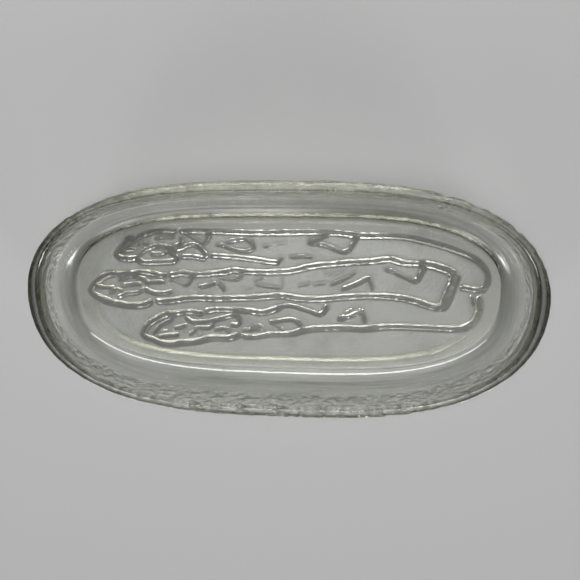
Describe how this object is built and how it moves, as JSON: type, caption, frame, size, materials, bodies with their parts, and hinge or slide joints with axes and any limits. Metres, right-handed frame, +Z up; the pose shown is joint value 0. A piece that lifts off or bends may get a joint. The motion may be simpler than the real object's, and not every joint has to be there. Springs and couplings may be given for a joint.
{
  "type": "asparagus plate",
  "caption": "Oval clear glass serving dish with a rounded textured rim, sloping wall, foot ring and asparagus spears in relief under the flat floor.",
  "frame": {"origin": "middle of the face that the dish stands on", "axes": "+X along the dish towards the cut ends of the spears, +Y across it towards the upper spear, +Z up"},
  "size_m": [0.34, 0.16, 0.035],
  "materials": {
    "floor_glass": "clear, lightly stippled underneath",
    "wall_glass": "clear, smooth inside and ice textured outside",
    "rim_glass": "clear, bark textured",
    "relief_glass": "clear, stippled"
  },
  "bodies": {
    "root": {"floor_panel": "floor_glass", "side_wall": "wall_glass", "rim": "rim_glass", "foot_ring": "floor_glass", "upper_spear_tip": "relief_glass", "upper_spear_stalk": "relief_glass", "middle_spear_tip": "relief_glass", "middle_spear_stalk": "relief_glass", "lower_spear_tip": "relief_glass", "lower_spear_stalk": "relief_glass"}
  },
  "joints": []
}
